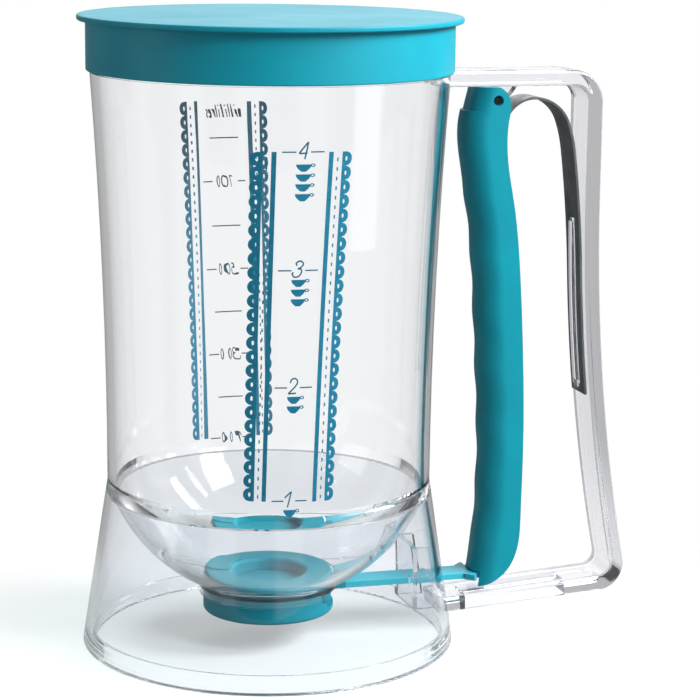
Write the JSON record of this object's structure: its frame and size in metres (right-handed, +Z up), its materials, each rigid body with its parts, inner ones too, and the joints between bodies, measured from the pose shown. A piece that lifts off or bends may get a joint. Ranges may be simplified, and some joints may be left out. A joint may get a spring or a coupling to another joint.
{
  "type": "batter dispenser",
  "caption": "Clear jug on a flared skirt, with a press-on lid, a bowl bottom and a slide valve that a sprung trigger in the side handle draws open.",
  "frame": {"origin": "centre of the skirt's foot, on the surface it stands on and on the jug's axis", "axes": "+Z up along the jug's axis, +X from the jug towards the handle, +Y across"},
  "size_m": [0.1889, 0.1254, 0.21],
  "materials": {
    "clear_plastic": "clear gloss",
    "teal_plastic": "satin",
    "steel": "plain spring steel",
    "seal_rubber": "soft, translucent"
  },
  "bodies": {
    "body": {"jug": "clear_plastic", "base_skirt": "clear_plastic", "handle_frame": "clear_plastic", "pivot_pin": "steel", "leaf_spring": "steel", "valve_seat": "teal_plastic", "seat_gasket": "seal_rubber", "gate_seal": "seal_rubber", "valve_housing": "teal_plastic"},
    "lid": {"lid": "teal_plastic"},
    "trigger": {"trigger": "teal_plastic"},
    "slide": {"gate_plate": "teal_plastic", "draw_bar": "teal_plastic"}
  },
  "joints": [
    {"name": "trigger_squeeze", "type": "hinge", "parent": "body", "child": "trigger", "pos_m": [0.0759, 0, 0.1817], "axis": [0, -1, 0], "range_deg": [0, 9], "stiffness_Nm_per_rad": 6, "springref_deg": -6.88, "deforming": ["leaf_spring"]},
    {"name": "valve_slide", "type": "slide", "parent": "body", "child": "slide", "axis": [1, 0, 0], "range_m": [0, 0.0255]},
    {"name": "lid_lift", "type": "slide", "parent": "body", "child": "lid", "axis": [0, 0, 1], "range_m": [0, 0.04]}
  ],
  "couplings": [
    {"joint": "valve_slide", "follows": "trigger_squeeze", "m_per_rad": 0.161}
  ]
}
